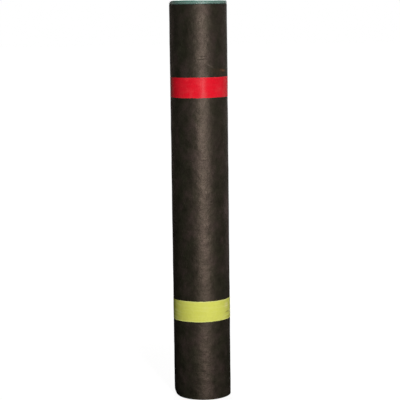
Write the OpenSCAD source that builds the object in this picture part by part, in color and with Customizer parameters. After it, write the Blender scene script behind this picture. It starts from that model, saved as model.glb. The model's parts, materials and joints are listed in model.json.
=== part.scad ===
// Roll of roofing felt: one bituminous sheet wound up on its width and stood on end.
// Two bands of tape hold the loose end shut, and a thin coloured film that is bonded
// to the sheet stands out between the turns at the upper end.
// Millimetres. The bore's axis is Z, the lower end is at Z = 0, and the loose end of
// the sheet runs up the back, at +Y.

/* [Sheet] */
// Width of the sheet, which is the height of the felt in the standing roll
sheet_width = 1000; // [600:1:1500]
// Thickness of the sheet, which is the pitch of the turns
sheet_thickness = 2; // [1:0.1:5]

/* [Winding] */
// Diameter of the bore that the winding mandrel left
bore_diameter = 40; // [20:1:100]
// Full turns of the sheet around the bore
turn_count = 26; // [10:1:40]
// Depth of the gap between two turns, as it shows on each end
gap_depth = 3; // [1:0.5:8]

/* [Edge film] */
// Thickness of the film
film_thickness = 0.2; // [0.1:0.05:0.4]
// Room on each side of the film, in the gap between two turns
film_clearance = 0.15; // [0.05:0.05:0.2]
// Height by which the film stands above the upper end of the felt
film_stand = 9; // [2:0.5:20]

/* [Tape bands] */
// Width of the red tape
red_band_width = 51; // [20:1:100]
// Width of the green tape
green_band_width = 53; // [20:1:100]
// Thickness of the tape
tape_thickness = 0.2; // [0.1:0.05:0.5]
// Length over which the end of the tape lies on its beginning
tape_lap = 60; // [20:1:80]
// Distance of the lap from the loose end of the sheet, along the roll
lap_offset = 40; // [30:1:60]
// Height of the green band's lower edge above the lower end of the roll
green_band_rise = 202; // [60:1:220]
// Depth of the red band's upper edge below the upper end of the felt
red_band_drop = 180; // [60:1:220]

/* [Hidden] */
$fn = 180;

// The winding is a spiral of half circles. The right halves are centred on the bore,
// and the left halves lie half a sheet further back and are half a sheet larger, so
// each turn starts where the one inside it ended.
half_sheet = sheet_thickness / 2;
bore_radius = bore_diameter / 2;
outer_radius = bore_radius + turn_count * sheet_thickness;
gap_width = film_thickness + 2 * film_clearance;
cut_margin = 1;

// From the top corner of the loose end, the tape runs straight to the turn below it.
bridge_angle = acos(outer_radius / (outer_radius + sheet_thickness));
lap_radius = outer_radius + tape_thickness;
lap_bond = tape_thickness / 2;

red_band_z = sheet_width - red_band_drop - red_band_width;

felt_colour = [0.17, 0.155, 0.135];
film_colour = [0.40, 0.55, 0.52];
red_colour = [0.86, 0.10, 0.17];
green_colour = [0.76, 0.78, 0.38];

// Radius of the boundary under turn k on the right half, counted from the bore
function turn_radius(k) = bore_radius + k * sheet_thickness;

// Angle at the bore's axis that a length along the roll covers
function angle_along(length) = length / lap_radius * 180 / PI;

// Turns a section about the bore, from the front round the right side
module right_half(angle = 180) {
    rotate([0, 0, -90]) rotate_extrude(angle = angle) children();
}

// Turns the same section on round the left side, out to the next turn
module left_half() {
    translate([0, half_sheet, 0])
        rotate([0, 0, 90])
            rotate_extrude(angle = 180) translate([half_sheet, 0]) children();
}

module wound() {
    right_half() children();
    left_half() children();
}

// One upright strip of a section between each two turns
module between_turns(width, height, z) {
    for (k = [1 : turn_count - 1])
        translate([turn_radius(k) - width / 2, z]) square([width, height]);
}

// Half section of the felt, with the gaps between its turns open at both ends
module felt_section() {
    difference() {
        square([outer_radius, sheet_width]);
        between_turns(gap_width, gap_depth + cut_margin, -cut_margin);
        between_turns(gap_width, gap_depth + cut_margin, sheet_width - gap_depth);
    }
}

module felt_roll() {
    color(felt_colour)
        difference() {
            wound() felt_section();
            translate([0, 0, -cut_margin])
                cylinder(r = bore_radius, h = sheet_width + 2 * cut_margin);
        }
}

module edge_film() {
    color(film_colour)
        wound() between_turns(film_thickness, gap_depth + film_stand, sheet_width - gap_depth);
}

// The stretch of tape over the step at the loose end, seen from above
module tape_bridge() {
    toe = [sin(bridge_angle), cos(bridge_angle)];
    corner = outer_radius + sheet_thickness;
    polygon([
        [0, corner],
        [0, corner + tape_thickness],
        toe * (outer_radius + tape_thickness),
        toe * outer_radius
    ]);
}

// A closed band of tape round the roll, with its end lapped over its beginning
module tape_band(z, width) {
    lap_start = 90 - bridge_angle - angle_along(lap_offset + tape_lap);
    translate([0, 0, z]) {
        right_half(180 - bridge_angle)
            translate([outer_radius, 0]) square([tape_thickness, width]);
        left_half()
            translate([outer_radius, 0]) square([tape_thickness, width]);
        linear_extrude(width) tape_bridge();
        // The lap, stuck into the layer below it so that the two are one solid
        rotate([0, 0, lap_start])
            rotate_extrude(angle = angle_along(tape_lap))
                translate([lap_radius - lap_bond, 0]) square([tape_thickness + lap_bond, width]);
    }
}

module red_band() {
    color(red_colour) tape_band(red_band_z, red_band_width);
}

module green_band() {
    color(green_colour) tape_band(green_band_rise, green_band_width);
}

felt_roll();
edge_film();
red_band();
green_band();
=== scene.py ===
import json
import math

import bmesh
import bpy
from mathutils import Matrix, Vector


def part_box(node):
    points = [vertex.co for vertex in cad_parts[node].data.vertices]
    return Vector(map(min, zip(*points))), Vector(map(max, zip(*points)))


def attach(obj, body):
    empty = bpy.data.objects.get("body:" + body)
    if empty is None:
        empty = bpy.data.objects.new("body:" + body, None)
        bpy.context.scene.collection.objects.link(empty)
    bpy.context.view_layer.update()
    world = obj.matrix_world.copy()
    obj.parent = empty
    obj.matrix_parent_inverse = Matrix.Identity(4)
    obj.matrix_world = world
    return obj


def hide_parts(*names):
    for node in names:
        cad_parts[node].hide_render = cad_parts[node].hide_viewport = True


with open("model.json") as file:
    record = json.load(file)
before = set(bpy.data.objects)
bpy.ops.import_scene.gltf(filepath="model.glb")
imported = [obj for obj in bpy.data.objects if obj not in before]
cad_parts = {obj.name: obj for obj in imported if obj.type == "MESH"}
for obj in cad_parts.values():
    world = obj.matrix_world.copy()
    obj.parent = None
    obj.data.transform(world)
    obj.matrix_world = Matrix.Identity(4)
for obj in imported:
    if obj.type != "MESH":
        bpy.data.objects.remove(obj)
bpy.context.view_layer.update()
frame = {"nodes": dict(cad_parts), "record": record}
scene = bpy.context.scene
scene.view_settings.view_transform = "Standard"
print("frame loaded:", ", ".join(sorted(frame["nodes"])))

feltLow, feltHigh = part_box("felt_roll")
filmLow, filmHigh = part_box("edge_film")
boreMount = next(mount for mount in frame["record"]["mounts"] if mount["name"] == "bore")

winding = {                                   # in metres, mostly read off the frame
    "pitch": feltHigh.y + feltLow.y,          # the back lies one sheet further out than the front
    "outerRadius": -feltLow.y,
    "boreRadius": boreMount["dims"]["r_mm"] / 1000,
    "height": feltHigh.z,
    "gap": 0.0005,                            # between two turns, where it shows
    "gapDepth": feltHigh.z - filmLow.z,
    "halfTurnSteps": 72,
}
pitch = winding["pitch"]
outerRadius = winding["outerRadius"]
rollHeight = winding["height"]
turnCount = round((outerRadius - winding["boreRadius"]) / pitch)
rightCentre = Vector((0, 0, 0))               # the right half circles turn about the bore
leftCentre = Vector((0, pitch / 2, 0))        # the left ones half a sheet further back
halfTurnStep = math.pi / winding["halfTurnSteps"]
touching = 1e-5                               # closer than this is the same place
smoothAngle = math.radians(38)                # an edge sharper than this stays sharp


# Modelling helpers

def startLine(name, place):                   # one vertex, in edit mode, on an object at the origin
    bpy.ops.object.select_all(action="DESELECT")
    bpy.ops.mesh.primitive_plane_add(size=0.01, enter_editmode=True)
    piece = bpy.context.object
    piece.name = piece.data.name = name
    bpy.ops.mesh.select_mode(type="VERT")
    bpy.ops.mesh.merge(type="CENTER")
    bpy.ops.transform.translate(value=place)
    return piece


def drawLine(points):                         # extrudes the picked vertex from point to point
    for start, end in zip(points, points[1:]):
        bpy.ops.mesh.extrude_region_move(TRANSFORM_OT_translate={"value": end - start})


def pickVerts(piece, test):
    bpy.ops.mesh.select_mode(type="VERT")
    bpy.ops.mesh.select_all(action="DESELECT")
    cage = bmesh.from_edit_mesh(piece.data)
    for vert in cage.verts:
        vert.select = test(vert.co)
    cage.select_flush_mode()
    bmesh.update_edit_mesh(piece.data)


def pickFaces(piece, test):
    bpy.ops.mesh.select_mode(type="FACE")
    bpy.ops.mesh.select_all(action="DESELECT")
    cage = bmesh.from_edit_mesh(piece.data)
    for face in cage.faces:
        face.select_set(test(face.calc_center_median(), face.normal))
    bmesh.update_edit_mesh(piece.data)


def nearBackPlane(place):
    return abs(place.x) < touching and place.y > 0


def nearFrontPlane(place):
    return abs(place.x) < touching and place.y < 0


def windTurns(piece, rightSpan=math.pi):      # right half, then left half, both from the front line
    steps = winding["halfTurnSteps"]
    bpy.ops.mesh.select_all(action="SELECT")
    bpy.ops.mesh.spin(steps=round(steps * rightSpan / math.pi), angle=-rightSpan,
                      center=rightCentre, axis=(0, 0, 1))
    pickVerts(piece, nearFrontPlane)
    bpy.ops.mesh.spin(steps=steps, angle=math.pi, center=leftCentre, axis=(0, 0, 1))
    mergeDoubles()


def mergeDoubles():
    bpy.ops.mesh.select_all(action="SELECT")
    bpy.ops.mesh.remove_doubles(threshold=2 * touching)


def closeMesh():
    bpy.ops.mesh.select_all(action="SELECT")
    bpy.ops.mesh.fill_holes(sides=0)
    bpy.ops.mesh.select_all(action="SELECT")
    bpy.ops.mesh.normals_make_consistent(inside=False)


def spiralPlace(place, nudge=0.0):            # radius, angle from the front and turns along the sheet
    left = place.x < 0
    centre = leftCentre if left else rightCentre
    radius = math.hypot(place.x, place.y - centre.y) - centre.y
    angle = math.atan2(place.x, centre.y - place.y)     # positive to the right
    turn = math.floor((radius + nudge - winding["boreRadius"] - winding["gap"] / 2) / pitch)
    share = abs(angle) / math.pi
    along = turn + (0.5 + share / 2 if left else 0.5 - share / 2)
    return radius, angle, along


def reshape(piece, move):
    for vert in piece.data.vertices:
        vert.co = move(vert.co.copy())


def pushOut(place, amount):                   # along the radius of its own half of the winding
    centre = leftCentre if place.x < 0 else rightCentre
    outward = Vector((place.x, place.y - centre.y, 0)).normalized()
    return place + outward * amount


def smoothStep(low, high, value):
    share = min(max((value - low) / (high - low), 0), 1)
    return share * share * (3 - 2 * share)


def hump(halfWidth, offset):                  # 1 in the middle, 0 beyond the half width
    return 1 - smoothStep(0, halfWidth, abs(offset))


def angleFrom(centre, angle):
    return (angle - centre + math.pi) % (2 * math.pi) - math.pi


def waveSum(waves, along):                    # each wave is a share, a rate and a phase
    return sum(share * math.sin(rate * along + phase) for share, rate, phase in waves)


def applyModifier(piece, modifier):
    bpy.context.view_layer.objects.active = piece
    bpy.ops.object.modifier_apply(modifier=modifier.name)


def thicken(piece, thickness):                # half of it on each side
    solid = piece.modifiers.new("thicken", "SOLIDIFY")
    solid.thickness = thickness
    solid.offset = 0
    applyModifier(piece, solid)


swellWaves = {                                # slow waves of the sheet, and small dents in it
    "slow": {"size": 0.055, "height": 0.0008},
    "dents": {"size": 0.017, "height": 0.00022},
}
for waveName, wave in swellWaves.items():
    wave["texture"] = bpy.data.textures.new(waveName + "Swell", type="CLOUDS")
    wave["texture"].noise_scale = wave["size"]
    wave["texture"].noise_depth = 1


def swellSurface(piece, group=""):            # felt and tape share it, so the tape stays on the felt
    for waveName, wave in swellWaves.items():
        swell = piece.modifiers.new(waveName, "DISPLACE")
        swell.texture = wave["texture"]
        swell.texture_coords = "LOCAL"
        swell.strength = wave["height"]
        swell.vertex_group = group
        applyModifier(piece, swell)


# Material helpers

def newMaterial(name):
    material = bpy.data.materials.new(name)
    material.use_nodes = True
    return material, material.node_tree, material.node_tree.nodes["Principled BSDF"]


def feed(tree, socket, value):                # links a socket, or sets a plain value
    if isinstance(value, bpy.types.NodeSocket):
        tree.links.new(value, socket)
    else:
        socket.default_value = value


def addNode(tree, kind, inputs=None, **settings):
    node = tree.nodes.new("ShaderNode" + kind)
    for key, value in settings.items():
        setattr(node, key, value)
    for key, value in (inputs or {}).items():
        feed(tree, node.inputs[key], value)
    return node


def maths(tree, operation, *values):
    node = addNode(tree, "Math", dict(enumerate(values)), operation=operation)
    return node.outputs[0]


def remap(tree, value, low, high, toLow=0.0, toHigh=1.0):
    inputs = {"Value": value, "From Min": low, "From Max": high, "To Min": toLow, "To Max": toHigh}
    return addNode(tree, "MapRange", inputs).outputs[0]


def mixColour(tree, factor, first, second):
    node = addNode(tree, "Mix", {0: factor, 6: first, 7: second}, data_type="RGBA")
    return node.outputs[2]


def noise(tree, place, scale, detail=2.0, roughness=0.5):
    inputs = {"Vector": place, "Scale": scale, "Detail": detail, "Roughness": roughness}
    return addNode(tree, "TexNoise", inputs).outputs[0]


def objectPlace(tree):
    return addNode(tree, "TexCoord").outputs["Object"]


def stretched(tree, place, scale):
    return addNode(tree, "Mapping", {"Vector": place, "Scale": scale}).outputs[0]


def bumped(tree, height, distance, normal=None):
    inputs = {"Height": height, "Distance": distance, "Strength": 1.0}
    if normal:
        inputs["Normal"] = normal
    return addNode(tree, "Bump", inputs).outputs[0]


slant = {                                     # the front is dull where it is seen at a slant
    "facing": (0.55, 0.75),                   # where that begins, and where it is full
    "front": (-0.38 * outerRadius, -0.46 * outerRadius),
    "shine": (0.5, 0.003),                    # plain and dull
}


def slantShine(tree, place):
    facing = addNode(tree, "LayerWeight", {"Blend": 0.5}).outputs["Facing"]
    slanted = remap(tree, facing, *slant["facing"])
    front = addNode(tree, "SeparateXYZ", {0: place}).outputs["Y"]
    dull = maths(tree, "MULTIPLY", slanted, remap(tree, front, *slant["front"]))
    return remap(tree, dull, 0.0, 1.0, *slant["shine"])


def newGroup(name, inputs, outputs):
    group = bpy.data.node_groups.new(name, "ShaderNodeTree")
    for socketName, kind in inputs.items():
        group.interface.new_socket(socketName, in_out="INPUT", socket_type="NodeSocket" + kind)
    for socketName in outputs:
        group.interface.new_socket(socketName, in_out="OUTPUT", socket_type="NodeSocketFloat")
    return group, group.nodes.new("NodeGroupInput").outputs, group.nodes.new("NodeGroupOutput").inputs


def useGroup(tree, group, **inputs):
    node = tree.nodes.new("ShaderNodeGroup")
    node.node_tree = group
    for key, value in inputs.items():
        feed(tree, node.inputs[key], value)
    return node.outputs


# Shared effects

sharedEffects = {
    "fineTimes": 5.3,                         # finer patches of the mottle
    "speckTimes": 24.0,                       # specks of the dust
    "bend": (0.01, 0.01, 0.01),               # of the creases, in metres
    "creaseWidth": 0.12,                      # share of a cell
}


def buildMottle():                            # cloudy patches, with finer ones inside them
    inputs = {"Place": "Vector", "Scale": "Float", "Fine": "Float"}
    group, given, result = newGroup("mottle", inputs, ["Value"])
    coarse = noise(group, given["Place"], given["Scale"], 3.0, 0.55)
    finer = maths(group, "MULTIPLY", given["Scale"], sharedEffects["fineTimes"])
    fine = noise(group, given["Place"], finer, 3.0, 0.6)
    both = addNode(group, "Mix", {0: given["Fine"], 2: coarse, 3: fine}).outputs[0]
    feed(group, result["Value"], remap(group, both, 0.35, 0.65))
    return group


def buildDust():                              # dust that lies in patches and thin specks
    inputs = {"Place": "Vector", "Scale": "Float", "Cover": "Float"}
    group, given, result = newGroup("dust", inputs, ["Mask"])
    patches = noise(group, given["Place"], given["Scale"], 4.0, 0.6)
    finer = maths(group, "MULTIPLY", given["Scale"], sharedEffects["speckTimes"])
    specks = noise(group, given["Place"], finer, 2.0, 0.7)
    level = maths(group, "SUBTRACT", 1.0, given["Cover"])
    lying = remap(group, patches, maths(group, "MULTIPLY", level, 0.7), 0.95)
    grain = remap(group, specks, 0.45, 0.7, 0.25, 1.0)
    feed(group, result["Mask"], maths(group, "MULTIPLY", lying, grain))
    return group


def buildCreases():                           # fine crossing wrinkles of a thin film
    group, given, result = newGroup("creases", {"Place": "Vector", "Scale": "Float"}, ["Height"])
    bent = addNode(group, "TexNoise", {"Vector": given["Place"], "Scale": given["Scale"], "Detail": 2.0})
    cells = addNode(group, "TexVoronoi", {"Scale": given["Scale"]}, feature="DISTANCE_TO_EDGE")
    shift = {0: bent.outputs["Color"], 1: sharedEffects["bend"], 2: given["Place"]}
    shifted = addNode(group, "VectorMath", shift, operation="MULTIPLY_ADD")
    feed(group, cells.inputs["Vector"], shifted.outputs[0])
    feed(group, result["Height"], remap(group, cells.outputs["Distance"], 0.0, sharedEffects["creaseWidth"]))
    return group


mottleGroup = buildMottle()
dustGroup = buildDust()
creaseGroup = buildCreases()


def mottled(tree, place, scale, fine):
    return useGroup(tree, mottleGroup, Place=place, Scale=scale, Fine=fine)["Value"]


def dusted(tree, place, scale, cover):
    return useGroup(tree, dustGroup, Place=place, Scale=scale, Cover=cover)["Mask"]


def creased(tree, place, scale):
    return useGroup(tree, creaseGroup, Place=place, Scale=scale)["Height"]


# Felt face: satin bitumen, brown black and cloudy, with painted shade in its crinkles, painted highlights
# beside the creases and painted sheen at the right edge

feltFace = {
    "dark": (0.0028, 0.0038, 0.0014, 1),
    "brown": (0.0155, 0.0172, 0.0092, 1),
    "mauve": (0.0400, 0.0260, 0.0255, 1),
    "dust": (0.060, 0.050, 0.040, 1),
    "rust": (0.25, 0.100, 0.048, 1),
    "stain": (0.050, 0.027, 0.011, 1),
    "creaseGlint": (0.085, 0.070, 0.056, 1),
    "edgeSheen": (0.070, 0.052, 0.050, 1),
    "ior": 1.55,
    "tint": (1.0, 0.775, 0.645, 1),
    "roughness": (0.465, 0.575),
    "crinkleRough": 0.03,                     # more or less than that in the crinkles
    "rustRough": 0.2,                         # and more on the rust
    "cloudScale": 50.0,
    "blushScale": 36.0,
    "sheenScale": 48.0,
    "crinkleScale": 210.0,
    "grainScale": 900.0,
    "unevenScale": 170.0,                     # of the rims of the painted sheen patches, stain and rust
    "streakScale": (9, 9, 420),
    "rollingScale": (55, 55, 65),
    "blushStretch": (1, 1, 0.7),
    "dustScale": 17.0,
    "dustSpread": 0.34,                       # share of the face that it lies on
    "crinkleHeight": 0.00010,
    "grainHeight": 0.00005,
    "streakHeight": 0.00009,
    "rollingHeight": 0.0015,
    "creaseHeight": 0.0004,
    "blushCover": 0.65,
    # painted shade: how much darker the felt is in the crinkles' hollows
    "crinkleShade": 0.32,
    "dustCover": 0.2,
    "glintCover": 0.5,
    "stainCover": 0.35,
    "rustCover": 0.55,
    "rustSmear": {"angle": 57, "height": 0.8354, "width": 0.012, "tall": 0.0034, "tilt": 6},
    "rustStain": {"angle": 46, "height": 0.834, "width": 0.032, "tall": 0.012, "tilt": 4},
    "creases": [                              # short creases across the front
        {"angle": 7, "height": 0.8721, "width": 0.013, "tall": 0.0018, "tilt": 0, "dull": 0.025},
        {"angle": 5, "height": 0.8647, "width": 0.026, "tall": 0.0021, "tilt": -1, "dull": 0.13},
        {"angle": 8, "height": 0.6138, "width": 0.016, "tall": 0.0018, "tilt": 0, "dull": 0.045},
    ],
    "creaseGlints": [                               # painted highlights: pale lines beside them, where the crease edges catch the light
        {"angle": 6, "height": 0.8755, "width": 0.009, "tall": 0.0018, "tilt": 0},
        {"angle": 6, "height": 0.8681, "width": 0.010, "tall": 0.0018, "tilt": 0},
        {"angle": 4, "height": 0.8607, "width": 0.010, "tall": 0.0018, "tilt": 0},
        {"angle": 22, "height": 0.8490, "width": 0.016, "tall": 0.0024, "tilt": 32},
        {"angle": 8, "height": 0.6539, "width": 0.010, "tall": 0.0016, "tilt": 0},
        {"angle": 8, "height": 0.6176, "width": 0.011, "tall": 0.0020, "tilt": 0},
        {"angle": 20, "height": 0.5056, "width": 0.011, "tall": 0.0016, "tilt": 0},
    ],
    "edgeSheens": [                                 # painted sheen: paler patches at the right edge, where the light from the right falls
        {"angle": 70, "height": 0.4870, "width": 0.021, "tall": 0.038, "tilt": 0, "cover": 0.8},
        {"angle": 72, "height": 0.3900, "width": 0.020, "tall": 0.105, "tilt": 0, "cover": 0.5},
    ],
}


def buildFeltFace():
    material, tree, shader = newMaterial("feltFace")
    place = objectPlace(tree)
    cloud = mottled(tree, place, feltFace["cloudScale"], 0.35)
    blush = mottled(tree, stretched(tree, place, feltFace["blushStretch"]), feltFace["blushScale"], 0.2)
    crinkle = noise(tree, place, feltFace["crinkleScale"], 2.0, 0.6)
    grain = noise(tree, place, feltFace["grainScale"], 3.0, 0.65)
    colour = mixColour(tree, cloud, feltFace["dark"], feltFace["brown"])
    blush = maths(tree, "MULTIPLY", maths(tree, "POWER", blush, 2.0), feltFace["blushCover"])
    colour = mixColour(tree, blush, colour, feltFace["mauve"])
    # fine random tone, darker in the crinkles' hollows: painted shade
    sunk = remap(tree, crinkle, 0.35, 0.65, feltFace["crinkleShade"], 0.0)
    colour = mixColour(tree, sunk, colour, feltFace["dark"])
    dust = dusted(tree, place, feltFace["dustScale"], feltFace["dustSpread"])
    colour = mixColour(tree, maths(tree, "MULTIPLY", dust, feltFace["dustCover"]), colour, feltFace["dust"])
    # painted highlight: pale lines beside the creases, where their edges catch the light
    for creaseGlint in feltFace["creaseGlints"]:
        rubbed = remap(tree, spotDistance(tree, place, creaseGlint), 0.2, 1.0, feltFace["glintCover"], 0.0)
        colour = mixColour(tree, rubbed, colour, feltFace["creaseGlint"])
    uneven = remap(tree, noise(tree, place, feltFace["unevenScale"], 3.0), 0.3, 0.7, -0.4, 0.4)
    # painted sheen: paler patches at the right edge, with uneven rims
    for edgeSheen in feltFace["edgeSheens"]:
        sheened = maths(tree, "ADD", spotDistance(tree, place, edgeSheen), uneven)
        colour = mixColour(tree, remap(tree, sheened, 0.2, 1.0, edgeSheen["cover"], 0.0), colour, feltFace["edgeSheen"])
    stained = maths(tree, "ADD", spotDistance(tree, place, feltFace["rustStain"]), uneven)
    stained = remap(tree, stained, 0.2, 1.0, feltFace["stainCover"], 0.0)
    colour = mixColour(tree, stained, colour, feltFace["stain"])
    rust = maths(tree, "ADD", spotDistance(tree, place, feltFace["rustSmear"]), uneven)
    rust = remap(tree, rust, 0.0, 1.2, feltFace["rustCover"], 0.0)
    colour = mixColour(tree, rust, colour, feltFace["rust"])
    feed(tree, shader.inputs["Base Color"], colour)

    sheen = mottled(tree, place, feltFace["sheenScale"], 0.35)
    rough = remap(tree, sheen, 0.0, 1.0, *feltFace["roughness"])
    crinkled = remap(tree, crinkle, 0.3, 0.7, feltFace["crinkleRough"], -feltFace["crinkleRough"])
    rough = maths(tree, "ADD", rough, crinkled)
    rough = maths(tree, "ADD", rough, maths(tree, "MULTIPLY", rust, feltFace["rustRough"]))
    for crease in feltFace["creases"]:
        dull = remap(tree, spotDistance(tree, place, crease), 0.0, 1.0, crease["dull"], 0.0)
        rough = maths(tree, "ADD", rough, dull)
    feed(tree, shader.inputs["Roughness"], rough)

    streak = noise(tree, stretched(tree, place, feltFace["streakScale"]), 1.0, 2.0)
    rolling = noise(tree, stretched(tree, place, feltFace["rollingScale"]), 1.0, 2.0)
    normal = bumped(tree, rolling, feltFace["rollingHeight"])
    normal = bumped(tree, crinkle, feltFace["crinkleHeight"], normal=normal)
    normal = bumped(tree, streak, feltFace["streakHeight"], normal=normal)
    normal = bumped(tree, grain, feltFace["grainHeight"], normal=normal)
    for crease in feltFace["creases"]:
        pressed = remap(tree, spotDistance(tree, place, crease), 0.0, 1.0)
        normal = bumped(tree, pressed, feltFace["creaseHeight"], normal=normal)
    feed(tree, shader.inputs["Normal"], normal)
    shader.inputs["IOR"].default_value = feltFace["ior"]
    shader.inputs["Specular Tint"].default_value = feltFace["tint"]
    feed(tree, shader.inputs["Specular IOR Level"], slantShine(tree, place))
    return material


def spotDistance(tree, place, spot):          # 0 in the middle of a spot on the wall, 1 at its rim
    angle = math.radians(spot["angle"])
    local = addNode(tree, "Mapping", {
        "Vector": place,
        "Location": (math.sin(angle) * outerRadius, -math.cos(angle) * outerRadius, spot["height"]),
        "Rotation": (0, math.radians(spot["tilt"]), angle),
        "Scale": (spot["width"], spot["width"], spot["tall"]),
    }, vector_type="TEXTURE").outputs[0]
    return addNode(tree, "VectorMath", {0: local}, operation="LENGTH").outputs["Value"]


# Cut edge: torn felt on both ends, at the loose end and in the gaps

cutEdge = {
    "dark": (0.010, 0.009, 0.008, 1),
    "pale": (0.042, 0.037, 0.031, 1),
    "dust": (0.16, 0.14, 0.12, 1),
    "fibreScale": 1400.0,
    "fibreHeight": 0.0006,
    "patchScale": 60.0,
    "patchCover": 0.4,
    "dustSpread": 0.45,
    "dustCover": 0.5,
    "roughness": (0.72, 0.92),
}


def buildCutEdge():
    material, tree, shader = newMaterial("cutEdge")
    place = objectPlace(tree)
    fibre = noise(tree, place, cutEdge["fibreScale"], 4.0, 0.7)
    patch = maths(tree, "MULTIPLY", mottled(tree, place, cutEdge["patchScale"], 0.5), cutEdge["patchCover"])
    colour = mixColour(tree, remap(tree, fibre, 0.35, 0.7), cutEdge["dark"], cutEdge["pale"])
    colour = mixColour(tree, patch, colour, cutEdge["dark"])
    dust = dusted(tree, place, cutEdge["patchScale"], cutEdge["dustSpread"])
    colour = mixColour(tree, maths(tree, "MULTIPLY", dust, cutEdge["dustCover"]), colour, cutEdge["dust"])
    feed(tree, shader.inputs["Base Color"], colour)
    feed(tree, shader.inputs["Roughness"], remap(tree, fibre, 0.3, 0.7, *cutEdge["roughness"]))
    feed(tree, shader.inputs["Normal"], bumped(tree, fibre, cutEdge["fibreHeight"]))
    return material


# Felt roll: one section with its turn ends, wound by half turns

feltRoll = {
    "edgeRound": 0.0003,                      # rounding of a cut edge
    "rowStep": 0.005,                         # rows of the wall, for its waves
    "boreRowStep": 0.05,
    "slotSteps": 4,                           # steps that the slot reaches in under the loose end
    "looseLift": 0.0012,                      # how far the loose end stands off between the bands
    "looseFade": (0.01, 0.09),                # away from a band
    "looseWaves": 21,                         # up the loose end, in radians a metre
    "endWander": 0.0006,                      # turns that slid past each other on the ends
    "endWaves": ((0.5, 2.3, 0.4), (0.3, 0.77, 1.9), (0.2, 5.3, 0.0)),   # share, radians a turn, phase
    "endReach": 0.03,                         # how far down the wall that reaches
    "endFrom": (0.001, 0.0001),               # cut edges begin this far from the bore and from the wall
    "wallDepth": 0.0002,                      # what counts as the wall, for its waves
    "waveFade": (0.003, 0.040),               # the waves die away towards both ends
    "knockDepth": 0.0040,                     # lower left edge, knocked in
    "knockLift": 0.75,                        # share of it that goes upwards
    "knockHeight": 0.017,
    "knockFall": 1.6,                         # how fast it dies away upwards
    "knockAngle": math.radians(-84),
    "knockWidth": math.radians(60),
    "knockTurns": 0.012,                      # how deep into the turns the knock reaches
    "frontLift": 0.0009,                      # lower edge beside it, a little off the floor
    "frontLiftAngle": math.radians(-27),
    "frontLiftWidth": math.radians(36),
}


def endLine(z, inward):                       # along one end, from the bore to the wall
    rounding = feltRoll["edgeRound"]
    points = []
    for turn in range(turnCount):
        inner = winding["boreRadius"] + turn * pitch + winding["gap"]
        outer = winding["boreRadius"] + (turn + 1) * pitch
        points += [(inner, z + inward * rounding), (inner + rounding, z)]
        points += [(outer - rounding, z), (outer, z + inward * rounding)]
        if turn < turnCount - 1:
            gapFloor = z + inward * winding["gapDepth"]
            points += [(outer, gapFloor), (outer + winding["gap"], gapFloor)]
    return points


def upright(radius, step):                    # rows between the floors of the gaps at both ends
    low = winding["gapDepth"]
    high = rollHeight - winding["gapDepth"]
    rows = round((high - low) / step)
    return [(radius, low + (high - low) * row / rows) for row in range(rows + 1)]


def buildFeltRoll():
    section = endLine(0, 1)
    section += upright(outerRadius, feltRoll["rowStep"])
    section += reversed(endLine(rollHeight, -1))
    section += reversed(upright(winding["boreRadius"] + winding["gap"], feltRoll["boreRowStep"]))
    section.append(section[0])
    points = [Vector((0, -radius, z)) for radius, z in section]
    piece = startLine("feltRoll", points[0])
    drawLine(points)
    mergeDoubles()
    windTurns(piece)
    openLooseEnd(piece)
    closeMesh()
    bpy.ops.object.mode_set(mode="OBJECT")
    print("felt wound:", len(piece.data.polygons), "faces")
    return piece


def openLooseEnd(piece):                      # end face of the sheet, and the slot in under it
    gap, depth = winding["gap"], winding["gapDepth"]
    looseTop = outerRadius + pitch
    pickVerts(piece, lambda p: nearBackPlane(p) and p.y > looseTop - touching)
    bpy.ops.mesh.extrude_region_move(TRANSFORM_OT_translate={"value": (0, gap - pitch, 0)})
    steps = feltRoll["slotSteps"]
    reach = steps * halfTurnStep
    mergeDoubles()
    pickVerts(piece, lambda p: nearBackPlane(p) and abs(p.y - outerRadius - gap) < touching
              and depth - touching < p.z < rollHeight - depth + touching)
    bpy.ops.mesh.spin(steps=steps, angle=-reach, center=leftCentre, axis=(0, 0, 1))
    inward = Vector((math.sin(reach), -math.cos(reach), 0)) * gap
    bpy.ops.mesh.extrude_region_move(TRANSFORM_OT_translate={"value": inward})
    bpy.ops.mesh.spin(steps=steps, angle=reach, center=leftCentre, axis=(0, 0, 1))
    mergeDoubles()

    def slotFloor(centre, normal):            # the gap's floor, where the slot runs into it
        radius, angle = spiralPlace(centre)[:2]
        onFloor = min(abs(centre.z - depth), abs(centre.z - rollHeight + depth)) < touching
        underEnd = centre.x < 0 and abs(angle) > math.pi - reach and radius > outerRadius - pitch
        return onFloor and underEnd and abs(normal.z) > 0.9
    pickFaces(piece, slotFloor)
    bpy.ops.mesh.delete(type="FACE")


def shapeFelt(place):                         # the sheet's edge wanders as it winds outwards
    radius, angle, along = spiralPlace(place)
    reach, depth = feltRoll["endReach"], winding["gapDepth"]
    atTop = smoothStep(rollHeight - reach, rollHeight - depth, place.z)
    atFoot = 1 - smoothStep(depth, reach, place.z)
    wander = waveSum(feltRoll["endWaves"], along) * feltRoll["endWander"]
    outerTurn = smoothStep(outerRadius - pitch, outerRadius - pitch + winding["gap"], radius)
    place.z += (atTop * min(wander, 0) + atFoot * max(wander, 0)) * (1 - outerTurn)
    return knockCorner(place, radius, angle)


def knockCorner(place, radius, angle):        # crushed edge at the lower left
    side = hump(feltRoll["knockWidth"], angleFrom(feltRoll["knockAngle"], angle))
    low = max(1 - place.z / feltRoll["knockHeight"], 0) ** feltRoll["knockFall"]
    depth = smoothStep(outerRadius - feltRoll["knockTurns"], outerRadius, radius)
    knock = feltRoll["knockDepth"] * side * low * depth
    beside = hump(feltRoll["frontLiftWidth"], angleFrom(feltRoll["frontLiftAngle"], angle))
    lift = knock * feltRoll["knockLift"] + feltRoll["frontLift"] * beside * low * depth
    return pushOut(place, -knock) + Vector((0, 0, lift))


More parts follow.
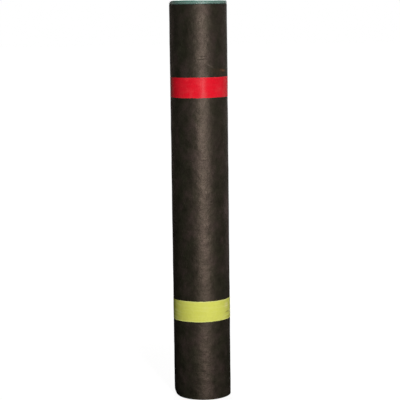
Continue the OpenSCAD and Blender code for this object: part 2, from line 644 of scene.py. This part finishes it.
def liftLooseEnd(place, bands):               # the loose end stands off a little, except under the bands
    radius, angle = spiralPlace(place)[:2]
    reach = feltRoll["slotSteps"] * halfTurnStep
    onSheet = radius > outerRadius - pitch + winding["gap"] * 0.7 and (place.x < 0 or nearBackPlane(place))
    if not onSheet or place.y < 0:
        return place
    free = max(1 - (math.pi - abs(angle)) / reach, 0) ** 2
    for low, high in bands:
        free *= smoothStep(*feltRoll["looseFade"], max(low - place.z, place.z - high))
    wave = 0.7 + 0.3 * math.sin(place.z * feltRoll["looseWaves"])
    return place + Vector((0, feltRoll["looseLift"] * free * wave, 0))


def onEnds(centre, normal):                   # both ends, the gaps in them and the end face of the sheet
    radius = spiralPlace(centre)[0]
    fromBore, fromWall = feltRoll["endFrom"]
    nearEnd = centre.z < winding["gapDepth"] or centre.z > rollHeight - winding["gapDepth"] - touching
    inside = winding["boreRadius"] + fromBore < radius < outerRadius - fromWall
    sheetEnd = nearBackPlane(centre) or (inside and not nearEnd)
    return sheetEnd or (nearEnd and (inside or abs(normal.z) > 0.3))


felt = buildFeltRoll()
felt.data.materials.append(buildFeltFace())
felt.data.materials.append(buildCutEdge())
bpy.ops.object.select_all(action="DESELECT")
bpy.context.view_layer.objects.active = felt
bpy.ops.object.mode_set(mode="EDIT")
pickFaces(felt, onEnds)
felt.active_material_index = 1
bpy.ops.object.material_slot_assign()
bpy.ops.object.mode_set(mode="OBJECT")
reshape(felt, shapeFelt)
bandSpans = [(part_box(node)[0].z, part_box(node)[1].z) for node in ("red_band", "green_band")]
reshape(felt, lambda place: liftLooseEnd(place, bandSpans))

wallGroup = felt.vertex_groups.new(name="wall")
for vert in felt.data.vertices:
    if spiralPlace(vert.co)[0] > outerRadius - feltRoll["wallDepth"]:
        fromEnd = min(vert.co.z, rollHeight - vert.co.z)
        wallGroup.add([vert.index], smoothStep(*feltRoll["waveFade"], fromEnd), "REPLACE")
swellSurface(felt, wallGroup.name)
print("felt shaped")


# Edge film: a strip between the turns, standing out of the upper end

edgeFilm = {
    "thickness": 0.00018,
    "rows": (0.0, 0.06, 0.13, 0.30, 0.47, 0.64, 0.82, 1.0),
    "flare": (0.0, 0.0009, 0.0016, 0.0015, 0.0014, 0.0012, 0.0007, -0.0004),   # of the outermost turn
    "rootDepth": 0.0024,                      # how far it goes down between the turns
    "stand": filmHigh.z - feltHigh.z,
    "lean": 0.0022,                           # inwards, at the upper edge of the inner turns
    "cornerTuck": 0.0026,                     # upper edge on the left, bent in further
    "cornerDrop": 0.0012,                     # and down
    "cornerAngle": math.radians(-90),
    "cornerWidth": math.radians(50),
    "ripple": 0.0005,
    "rippleWaves": ((0.6, 17.3, 0.0), (0.4, 31.7, 1.0)),
    "cutWander": 0.0004,
    "cutWaves": ((0.3, 2.7, 0.0), (0.2, 9.1, 0.0)),
    "cutSlope": 0.00045,                      # cut a little lower on the right
    "cutCrown": 0.00055,                      # and higher left of the front
    "crownAngle": math.radians(-24),
    "crownWidth": math.radians(36),
    "stepDown": 0.0022,                       # inner turns that stand lower, in waves along the sheet
}


def buildEdgeFilm():
    low = rollHeight - edgeFilm["rootDepth"]
    radius = winding["boreRadius"] + pitch + winding["gap"] / 2
    heights = [low] + [rollHeight + edgeFilm["stand"] * row for row in edgeFilm["rows"]]
    points = [Vector((0, -radius, z)) for z in heights]
    piece = startLine("edgeFilm", points[0])
    drawLine(points)
    for turn in range(turnCount - 2):
        pickVerts(piece, lambda p: p.y < -radius - turn * pitch + pitch / 2)
        bpy.ops.mesh.duplicate_move(TRANSFORM_OT_translate={"value": (0, -pitch, 0)})
    windTurns(piece)
    bpy.ops.mesh.normals_make_consistent(inside=False)
    bpy.ops.object.mode_set(mode="OBJECT")
    return piece


def flareAt(share):                           # over the edge of the outer turn, then up and in again
    rows, flare = edgeFilm["rows"], edgeFilm["flare"]
    for row in range(len(rows) - 2):
        if share <= rows[row + 1]:
            break
    step = (share - rows[row]) / (rows[row + 1] - rows[row])
    return flare[row] + (flare[row + 1] - flare[row]) * step


def shapeFilm(place):                         # rippled, cut unevenly, and leaning in on the inner turns
    angle, along = spiralPlace(place, pitch / 2)[1:]
    wound = along * 2 * math.pi
    share = max(place.z - rollHeight, 0) / edgeFilm["stand"]
    outermost = smoothStep(turnCount - 1.6, turnCount - 0.9, along)
    corner = hump(edgeFilm["cornerWidth"], angleFrom(edgeFilm["cornerAngle"], angle))
    crown = hump(edgeFilm["crownWidth"], angleFrom(edgeFilm["crownAngle"], angle))
    sway = 0.5 * math.sin(3 * angle + 0.6 * along) + 0.5 * math.sin(7 * angle + 1.3)
    lean = edgeFilm["lean"] * (0.75 + 0.25 * sway) * (0.3 + 0.7 * along / turnCount)
    ripple = edgeFilm["ripple"] * waveSum(edgeFilm["rippleWaves"], wound)
    inner = share ** 1.5 * (ripple - lean)
    outer = flareAt(share) - edgeFilm["cornerTuck"] * corner * share ** 3
    outer += share ** 1.5 * ripple * 0.5
    place = pushOut(place, inner + (outer - inner) * outermost)

    sunk = 0.5 + 0.5 * math.sin(1.9 * along + 0.8)
    drop = edgeFilm["cutWander"] * waveSum(edgeFilm["cutWaves"], wound)
    drop += edgeFilm["cutSlope"] * math.sin(angle) - edgeFilm["cutCrown"] * crown
    drop += edgeFilm["cornerDrop"] * corner * outermost + edgeFilm["stepDown"] * sunk * (1 - outermost)
    place.z -= share * drop
    return place


# Film: thin teal plastic, rubbed and crinkled, with painted light on its left, a painted highlight along its
# bend and painted shade at its foot

filmFinish = {
    "teal": (0.118, 0.235, 0.202, 1),
    "pale": (0.25, 0.390, 0.335, 1),
    "grey": (0.095, 0.155, 0.133, 1),
    "footShade": (0.026, 0.046, 0.039, 1),
    "tip": (0.022, 0.215, 0.165, 1),
    "leftLight": (0.30, 0.33, 0.305, 1),
    "roughness": (0.24, 0.38),
    "cloudScale": 90.0,
    "rubScale": (240, 240, 60),
    "ringScale": (14, 14, 330),               # across the roll, and from turn to turn
    "creaseScale": 160.0,
    "creaseHeight": 0.00015,
    "crest": 0.45,                            # share of its height where it bends over, painted pale there as its highlight
    "leftLightSide": (-0.055, -0.070),             # painted light: paler on the left, as if lit there
}


def buildFilmMaterial():
    material, tree, shader = newMaterial("tealFilm")
    place = objectPlace(tree)
    cloud = mottled(tree, place, filmFinish["cloudScale"], 0.4)
    rubbed = noise(tree, stretched(tree, place, filmFinish["rubScale"]), 1.0, 3.0, 0.6)
    colour = mixColour(tree, cloud, filmFinish["teal"], filmFinish["grey"])
    colour = mixColour(tree, remap(tree, rubbed, 0.5, 0.75, 0.0, 0.6), colour, filmFinish["pale"])
    split = addNode(tree, "SeparateXYZ", {0: place}).outputs
    share = remap(tree, split["Z"], rollHeight, rollHeight + edgeFilm["stand"])
    # painted highlight: a pale band along the bend
    crest = maths(tree, "ABSOLUTE", maths(tree, "SUBTRACT", share, filmFinish["crest"]))
    colour = mixColour(tree, remap(tree, crest, 0.0, 0.25, 0.35, 0.0), colour, filmFinish["pale"])
    # painted shade: darker at the foot, where the film comes out of the felt
    colour = mixColour(tree, remap(tree, share, 0.08, 0.4, 0.6, 0.0), colour, filmFinish["footShade"])
    colour = mixColour(tree, remap(tree, share, 0.7, 1.0, 0.0, 0.7), colour, filmFinish["tip"])
    # painted light: the left of the film is paler, as if lit there
    leftLight = remap(tree, split["X"], *filmFinish["leftLightSide"], 0.0, 0.75)
    colour = mixColour(tree, leftLight, colour, filmFinish["leftLight"])
    flat = addNode(tree, "VectorMath", {0: stretched(tree, place, (1, 1, 0))}, operation="LENGTH")
    radial = flat.outputs["Value"]
    wound = addNode(tree, "CombineXYZ", {"X": split["X"], "Y": split["Y"], "Z": radial}).outputs[0]
    rings = noise(tree, stretched(tree, wound, filmFinish["ringScale"]), 1.0, 2.0)
    inside = remap(tree, radial, outerRadius - pitch, outerRadius - 2 * pitch)
    ringed = maths(tree, "MULTIPLY", inside, remap(tree, rings, 0.42, 0.60, 0.0, 0.9))
    colour = mixColour(tree, ringed, colour, filmFinish["pale"])
    feed(tree, shader.inputs["Base Color"], colour)
    feed(tree, shader.inputs["Roughness"], remap(tree, cloud, 0.0, 1.0, *filmFinish["roughness"]))
    crinkle = creased(tree, place, filmFinish["creaseScale"])
    feed(tree, shader.inputs["Normal"], bumped(tree, crinkle, filmFinish["creaseHeight"]))
    return material


film = buildEdgeFilm()
reshape(film, shapeFilm)
thicken(film, edgeFilm["thickness"])
film.data.materials.append(buildFilmMaterial())
print("film wound:", len(film.data.polygons), "faces")


# Tape bands: a strip wound once round the felt and lapped on the right of the back

tapeBand = {
    "clear": 0.00004,                         # between the felt and the tape
    "thickness": 0.00016,
    "rows": 10,
    "bridgeSteps": 3,                         # over the step at the loose end
    "lapLength": 0.060,                       # end of the tape, lying on its beginning
    "lapOffset": 0.040,                       # from where the tape lands beside the loose end
}


def buildTape(name, node, dips):
    low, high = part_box(node)
    rows = tapeBand["rows"]
    radius = outerRadius + tapeBand["clear"] + tapeBand["thickness"] / 2
    points = [Vector((0, -radius, low.z + (high.z - low.z) * row / rows)) for row in range(rows + 1)]
    piece = startLine(name, points[0])
    drawLine(points)
    landing = math.acos(radius / (radius + pitch))
    landing = math.ceil(landing / halfTurnStep) * halfTurnStep
    windTurns(piece, math.pi - landing)
    backEdge = Vector((math.sin(landing), math.cos(landing), 0)) * radius
    pickVerts(piece, lambda p: nearBackPlane(p) or (p.xy - backEdge.xy).length < touching)
    bpy.ops.mesh.bridge_edge_loops(number_cuts=tapeBand["bridgeSteps"])
    lapTape(piece, points, math.pi - landing)
    bpy.ops.mesh.select_all(action="SELECT")
    bpy.ops.mesh.normals_make_consistent(inside=False)
    bpy.ops.object.mode_set(mode="OBJECT")
    reshape(piece, lambda place: dipEdges(place, low.z, high.z, dips))
    swellSurface(piece)
    thicken(piece, tapeBand["thickness"])
    print(name, "wound:", len(piece.data.polygons), "faces")
    return piece


def lapTape(piece, points, landingAngle):     # second layer, on the same steps as the one below
    layer = tapeBand["thickness"] + tapeBand["clear"]
    radius = -points[0].y + layer
    lapSteps = round(tapeBand["lapLength"] / radius / halfTurnStep)
    offsetSteps = round(tapeBand["lapOffset"] / radius / halfTurnStep)
    turned = Matrix.Rotation(landingAngle - (offsetSteps + lapSteps) * halfTurnStep, 3, "Z")
    lapPoints = [turned @ Vector((0, -radius, point.z)) for point in points]
    bpy.ops.mesh.select_all(action="DESELECT")
    bpy.ops.mesh.primitive_plane_add(size=0.01)
    bpy.ops.mesh.merge(type="CENTER")
    bpy.ops.transform.translate(value=lapPoints[0])
    drawLine(lapPoints)
    start = (turned @ Vector((0, -radius, 0))).xy
    pickVerts(piece, lambda p: (p.xy - start).length < touching)
    bpy.ops.mesh.spin(steps=lapSteps, angle=-lapSteps * halfTurnStep, center=rightCentre, axis=(0, 0, 1))


def dipEdges(place, low, high, dips):         # pulls one edge of the tape towards its middle
    angle = spiralPlace(place)[1]
    share = (place.z - low) / (high - low)
    for dip in dips:
        weight = share if dip["edge"] == "upper" else 1 - share
        place.z += dip["height"] * weight ** 2 * hump(dip["width"], angleFrom(dip["angle"], angle))
    return place


redBand = {
    "dips": [
        {"edge": "upper", "height": -0.0008, "angle": math.radians(-50), "width": math.radians(60)},
        {"edge": "lower", "height": 0.0006, "angle": math.radians(50), "width": math.radians(50)},
    ],
}
greenBand = {
    "dips": [
        {"edge": "lower", "height": 0.0008, "angle": math.radians(40), "width": math.radians(60)},
        {"edge": "upper", "height": -0.0016, "angle": math.radians(-72), "width": math.radians(40)},
        {"edge": "lower", "height": -0.0014, "angle": math.radians(-72), "width": math.radians(40)},
    ],
}


# Tape: satin film, a little wrinkled, paler along its edges, with painted highlight and painted shade on its
# wrinkles

tapeFinish = {
    "cloudScale": 34.0,
    "streakScale": (26, 26, 210),
    "streakHeight": 0.0001,
    "wrinkleScale": 70.0,
    "wrinkleStretch": (1, 1, 0.35),
    "wrinkleHeight": 0.00004,
    "deepCover": 0.55,
    "edgeCover": 0.9,
    "dustScale": 40.0,
    "dustSpread": 0.3,
    "dustCover": 0.3,
    "dustRough": 0.25,
    "sides": (0.7 * outerRadius, 0.92 * outerRadius),   # from the middle, where the painted highlights on the wrinkles begin
    "red": {
        "colour": (0.74, 0.0095, 0.024, 1), "deep": (0.62, 0.007, 0.018, 1),
        "edge": (0.74, 0.03, 0.045, 1), "dust": (0.75, 0.32, 0.30, 1), "edgeWidth": 0.0016,
        "sideGlints": 0.15, "roughness": (0.27, 0.35), "ior": 1.17, "wrinkleLights": [],
    },
    "green": {
        "colour": (0.67, 0.695, 0.128, 1), "deep": (0.57, 0.585, 0.086, 1),
        "edge": (0.76, 0.78, 0.25, 1), "dust": (0.78, 0.78, 0.52, 1), "edgeWidth": 0.0026,
        "sideGlints": 1.0, "roughness": (0.36, 0.46), "ior": 1.2,
        "wrinkleLights": [                            # painted highlight and painted shade of the wrinkles at the right
            {"angle": 61, "height": 0.2395, "width": 0.013, "tall": 0.012, "tilt": 0,
             "colour": (0.84, 0.80, 0.36, 1), "cover": 0.6},
            {"angle": 64, "height": 0.2218, "width": 0.016, "tall": 0.0026, "tilt": -4,
             "colour": (0.22, 0.16, 0.012, 1), "cover": 0.65},
            {"angle": 70, "height": 0.2060, "width": 0.020, "tall": 0.0060, "tilt": 0,
             "colour": (0.38, 0.36, 0.04, 1), "cover": 0.4},
        ],
    },
}


def buildTapeMaterial(name, node, finish):
    material, tree, shader = newMaterial(name)
    place = objectPlace(tree)
    low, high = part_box(node)
    cloud = mottled(tree, place, tapeFinish["cloudScale"], 0.3)
    streaks = noise(tree, stretched(tree, place, tapeFinish["streakScale"]), 1.0, 3.0)
    deep = maths(tree, "MULTIPLY", cloud, tapeFinish["deepCover"])
    colour = mixColour(tree, deep, finish["colour"], finish["deep"])
    split = addNode(tree, "SeparateXYZ", {0: place}).outputs
    height = split["Z"]
    aside = maths(tree, "ABSOLUTE", split["X"])
    # pale streaks all over, and towards the sides a painted highlight on the wrinkles
    sides = remap(tree, aside, *tapeFinish["sides"], 0.2, finish["sideGlints"])
    streaksAndGlints = maths(tree, "MULTIPLY", remap(tree, streaks, 0.52, 0.64), sides)
    colour = mixColour(tree, streaksAndGlints, colour, finish["edge"])
    # painted highlight and painted shade: pale and dark wrinkle marks at the right
    for wrinkleLight in finish["wrinkleLights"]:
        lined = remap(tree, streaks, 0.40, 0.62, 0.6 * wrinkleLight["cover"], wrinkleLight["cover"])
        inside = remap(tree, spotDistance(tree, place, wrinkleLight), 0.3, 1.0, 1.0, 0.0)
        colour = mixColour(tree, maths(tree, "MULTIPLY", inside, lined), colour, wrinkleLight["colour"])
    fromLow = maths(tree, "SUBTRACT", height, low.z)
    fromEdge = maths(tree, "MINIMUM", fromLow, maths(tree, "SUBTRACT", high.z, height))
    width = finish["edgeWidth"]
    edged = remap(tree, fromEdge, width * 0.5, width, tapeFinish["edgeCover"], 0.0)
    colour = mixColour(tree, edged, colour, finish["edge"])
    dust = dusted(tree, place, tapeFinish["dustScale"], tapeFinish["dustSpread"])
    colour = mixColour(tree, maths(tree, "MULTIPLY", dust, tapeFinish["dustCover"]), colour, finish["dust"])
    feed(tree, shader.inputs["Base Color"], colour)
    rough = remap(tree, cloud, 0.0, 1.0, *finish["roughness"])
    dustRough = maths(tree, "MULTIPLY", dust, tapeFinish["dustRough"])
    feed(tree, shader.inputs["Roughness"], maths(tree, "ADD", rough, dustRough))
    pulled = stretched(tree, place, tapeFinish["wrinkleStretch"])
    wrinkle = creased(tree, pulled, tapeFinish["wrinkleScale"])
    normal = bumped(tree, streaks, tapeFinish["streakHeight"])
    normal = bumped(tree, wrinkle, tapeFinish["wrinkleHeight"], normal=normal)
    feed(tree, shader.inputs["Normal"], normal)
    shader.inputs["IOR"].default_value = finish["ior"]
    feed(tree, shader.inputs["Specular IOR Level"], slantShine(tree, place))
    return material


redTape = buildTape("redBand", "red_band", redBand["dips"])
greenTape = buildTape("greenBand", "green_band", greenBand["dips"])
redTape.data.materials.append(buildTapeMaterial("redTape", "red_band", tapeFinish["red"]))
greenTape.data.materials.append(buildTapeMaterial("greenTape", "green_band", tapeFinish["green"]))
print("materials done")

pieceNodes = {felt: ("felt_roll", "felt"), film: ("edge_film", "film"),
              redTape: ("red_band", "red_tape"), greenTape: ("green_band", "green_tape")}
for piece, (node, slot) in pieceNodes.items():
    bpy.ops.object.select_all(action="DESELECT")
    piece.select_set(True)
    bpy.context.view_layer.objects.active = piece
    bpy.ops.object.shade_smooth_by_angle(angle=smoothAngle)
    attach(piece, "root")
    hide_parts(node)


# Stage, light and camera

stage = {
    "floorSize": 60.0,
    "floorColour": (0.25, 0.25, 0.25, 1),
    "mirrorColour": (0.02, 0.02, 0.02, 1),    # of the floor in reflections, apart from the backdrop
    "floorGlow": (0.88, 1.0),                 # near the roll and far from it, for the camera alone
    "glowReach": (0.4, 3.0),
    "ambient": 0.06,
    "backdropAxis": (0.08, 0.997, 0),         # where the white backdrop shows in reflections
    "backdropTurn": (0.86, 0.97),             # and how far round
    "backdropGlow": 1.0,
    "mirrorReach": (1.0, 6.0),                # and where on the floor it begins
}
lamps = {
    "key": {"turn": 13.5, "distance": 2.0, "height": 0.95, "size": (0.24, 1.9), "power": 35.6},
    "lowKey": {"turn": 13.5, "distance": 2.0, "height": 0.18, "size": (0.24, 0.34), "power": 7.2,
               "colour": (1.0, 0.88, 0.76)},
    "rightFill": {"turn": 92, "distance": 3.0, "height": 0.5, "size": (1.2, 1.6), "power": 3.2,
                  "colour": (1.0, 0.95, 0.84)},
    "rightRim": {"turn": 128, "distance": 2.2, "height": 0.9, "size": (0.5, 1.6), "power": 2.2,
                 "colour": (1.0, 0.88, 0.80)},
    "leftFill": {"turn": -70, "distance": 3.0, "height": 1.0, "size": (1.4, 1.8), "power": 2.25,
                 "colour": (0.74, 1.0, 0.80)},
    "leftRim": {"turn": -135, "distance": 2.2, "height": 0.8, "size": (0.5, 1.0), "power": 0.8,
                "colour": (1.0, 0.84, 0.70)},
    "back": {"turn": 180, "distance": 2.4, "height": 1.5, "size": (0.5, 1.2), "power": 20},
    "top": {"turn": 180, "distance": 0.5, "height": 2.6, "size": (0.9, 0.9), "power": 14,
            "aim": rollHeight},
}
photoView = {
    "distance": 3.744, "height": 1.009, "aside": -0.0014,
    "pitch": 7.67, "roll": 0.724, "lens": 133.3, "sensor": 36,
}


def seenRays(tree):                           # camera, glossy and transmission rays
    rays = addNode(tree, "LightPath").outputs
    mirrored = maths(tree, "MAXIMUM", rays["Is Glossy Ray"], rays["Is Transmission Ray"])
    return rays["Is Camera Ray"], mirrored


def backdrop(tree, place):                    # full behind the roll, 0 further round
    towards = addNode(tree, "VectorMath", {0: place}, operation="NORMALIZE").outputs[0]
    facing = addNode(tree, "VectorMath", {0: towards, 1: stage["backdropAxis"]}, operation="DOT_PRODUCT")
    return remap(tree, facing.outputs["Value"], *stage["backdropTurn"], 0.0, stage["backdropGlow"])


def buildFloor():
    bpy.ops.object.select_all(action="DESELECT")
    bpy.ops.mesh.primitive_plane_add(size=stage["floorSize"], location=(0, 0, 0))
    floor = bpy.context.object
    floor.name = "paleFloor"
    material, tree, shader = newMaterial("paleFloor")
    shader.inputs["Roughness"].default_value = 1.0
    shader.inputs["Specular IOR Level"].default_value = 0.0
    camera, mirrored = seenRays(tree)
    colour = mixColour(tree, mirrored, stage["floorColour"], stage["mirrorColour"])
    feed(tree, shader.inputs["Base Color"], colour)
    place = objectPlace(tree)
    away = addNode(tree, "VectorMath", {0: place}, operation="LENGTH").outputs["Value"]
    glow = maths(tree, "MULTIPLY", camera, remap(tree, away, *stage["glowReach"], *stage["floorGlow"]))
    behind = maths(tree, "MULTIPLY", backdrop(tree, place), remap(tree, away, *stage["mirrorReach"]))
    glow = maths(tree, "MAXIMUM", glow, maths(tree, "MULTIPLY", mirrored, behind))
    feed(tree, shader.inputs["Emission Color"], (1, 1, 1, 1))
    feed(tree, shader.inputs["Emission Strength"], glow)
    material.cycles.emission_sampling = "NONE"          # the glow is only looked at, it lights nothing
    floor.data.materials.append(material)


def buildWorld():                             # white to the camera, and as a backdrop in reflections
    world = scene.world or bpy.data.worlds.new("studio")
    scene.world = world
    world.use_nodes = True
    tree = world.node_tree
    background = tree.nodes["Background"]
    camera, mirrored = seenRays(tree)
    behind = backdrop(tree, addNode(tree, "TexCoord").outputs["Generated"])
    white = maths(tree, "MAXIMUM", camera, maths(tree, "MULTIPLY", mirrored, behind))
    feed(tree, background.inputs["Color"], (1, 1, 1, 1))
    feed(tree, background.inputs["Strength"], remap(tree, white, 0.0, 1.0, stage["ambient"], 1.0))


def addLamp(name, lamp):
    turn = math.radians(lamp["turn"])
    place = Vector((math.sin(turn) * lamp["distance"], -math.cos(turn) * lamp["distance"], lamp["height"]))
    bpy.ops.object.light_add(type="AREA", location=place)
    light = bpy.context.object
    light.name = name
    light.data.shape = "RECTANGLE"
    light.data.size, light.data.size_y = lamp["size"]
    light.data.energy = lamp["power"]
    light.data.color = lamp.get("colour", (1, 1, 1))
    aim = Vector((0, 0, lamp.get("aim", lamp["height"]))) - place
    light.rotation_euler = aim.to_track_quat("-Z", "Y").to_euler()


def addCamera():
    bpy.ops.object.camera_add(location=(photoView["aside"], -photoView["distance"], photoView["height"]))
    camera = bpy.context.object
    camera.data.lens = photoView["lens"]
    camera.data.sensor_width = photoView["sensor"]
    tilt = Matrix.Rotation(math.radians(90 - photoView["pitch"]), 4, "X")
    lean = Matrix.Rotation(math.radians(-photoView["roll"]), 4, "Z")
    camera.rotation_euler = (tilt @ lean).to_euler()
    scene.camera = camera


buildFloor()
buildWorld()
for lampName, lamp in lamps.items():
    addLamp(lampName, lamp)
addCamera()
print("stage lit")
